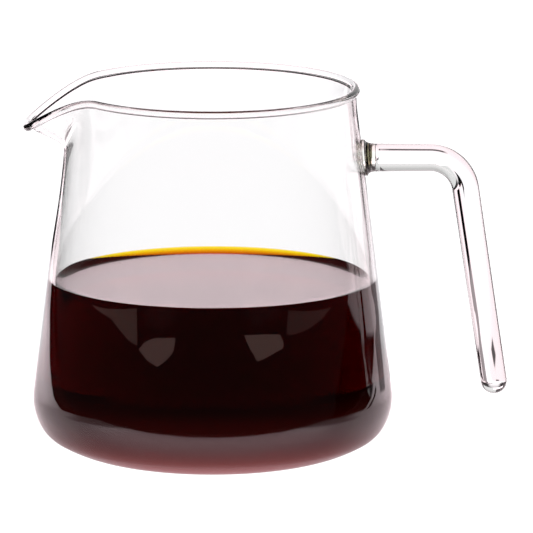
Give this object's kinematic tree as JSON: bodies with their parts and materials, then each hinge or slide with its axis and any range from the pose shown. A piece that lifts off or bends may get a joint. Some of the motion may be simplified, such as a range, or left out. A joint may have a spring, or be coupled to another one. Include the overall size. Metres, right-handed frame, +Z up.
{
  "type": "coffee server carafe",
  "caption": "Glass coffee server with a conical body, beaded rim, pulled pouring lip and a solid bent-rod glass handle with a free end.",
  "frame": {"origin": "on the body's axis, in the plane of the resting ring at the bottom of the glass", "axes": "+Z up along the body's axis, +X from the body towards the handle, so the pouring lip points to -X"},
  "size_m": [0.17, 0.1264, 0.1314],
  "materials": {
    "body_glass": "fire-polished clear borosilicate",
    "rod_glass": "fire-polished clear borosilicate rod",
    "seal_glass": "fire-polished, faintly olive at the flame seal",
    "coffee": "black filter coffee with a glossy liquid surface, contents of the visual model"
  },
  "bodies": {
    "root": {"vessel": "body_glass", "handle": "rod_glass", "handle_seal": "seal_glass"}
  },
  "joints": []
}
